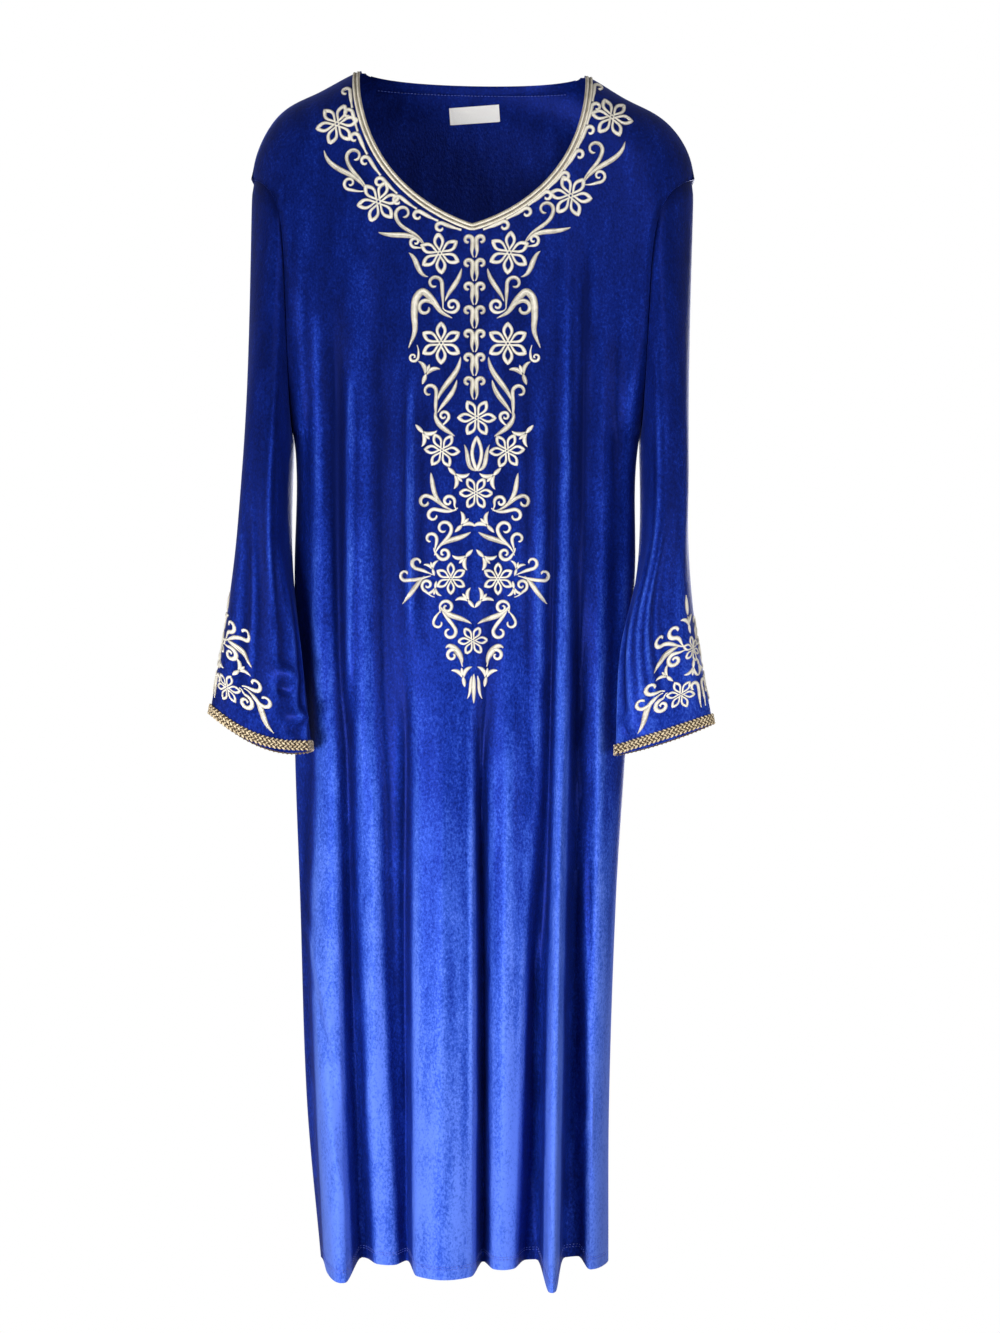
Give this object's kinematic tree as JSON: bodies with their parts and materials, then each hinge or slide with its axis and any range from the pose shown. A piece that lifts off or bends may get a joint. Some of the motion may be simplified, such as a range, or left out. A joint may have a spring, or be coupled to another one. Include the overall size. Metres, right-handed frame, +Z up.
{
  "type": "velvet kaftan",
  "caption": "Long-sleeved velvet kaftan hanging open from its shoulders, with an embroidered front, a corded round neckline and braided cuffs.",
  "frame": {"origin": "midway between the two dropped shoulder points, at half the height of the sloping shoulder seams, in the plane of those seams", "axes": "+Z up along the hanging garment, -Y towards the embroidered front, +X towards the wearer's left"},
  "size_m": [0.5498, 0.2066, 1.327],
  "materials": {
    "velvet": "crushed pile with a satin sheen",
    "cream_cord": "satin cord",
    "gold_braid": "woven metallic-look braid",
    "label_tape": "satin woven tape"
  },
  "bodies": {
    "root": {"front_panel": "velvet", "back_panel": "velvet", "left_sleeve": "velvet", "right_sleeve": "velvet", "back_neck_facing": "velvet", "neck_braid": "cream_cord", "left_cuff_braid": "gold_braid", "right_cuff_braid": "gold_braid", "neck_label": "label_tape"}
  },
  "joints": []
}
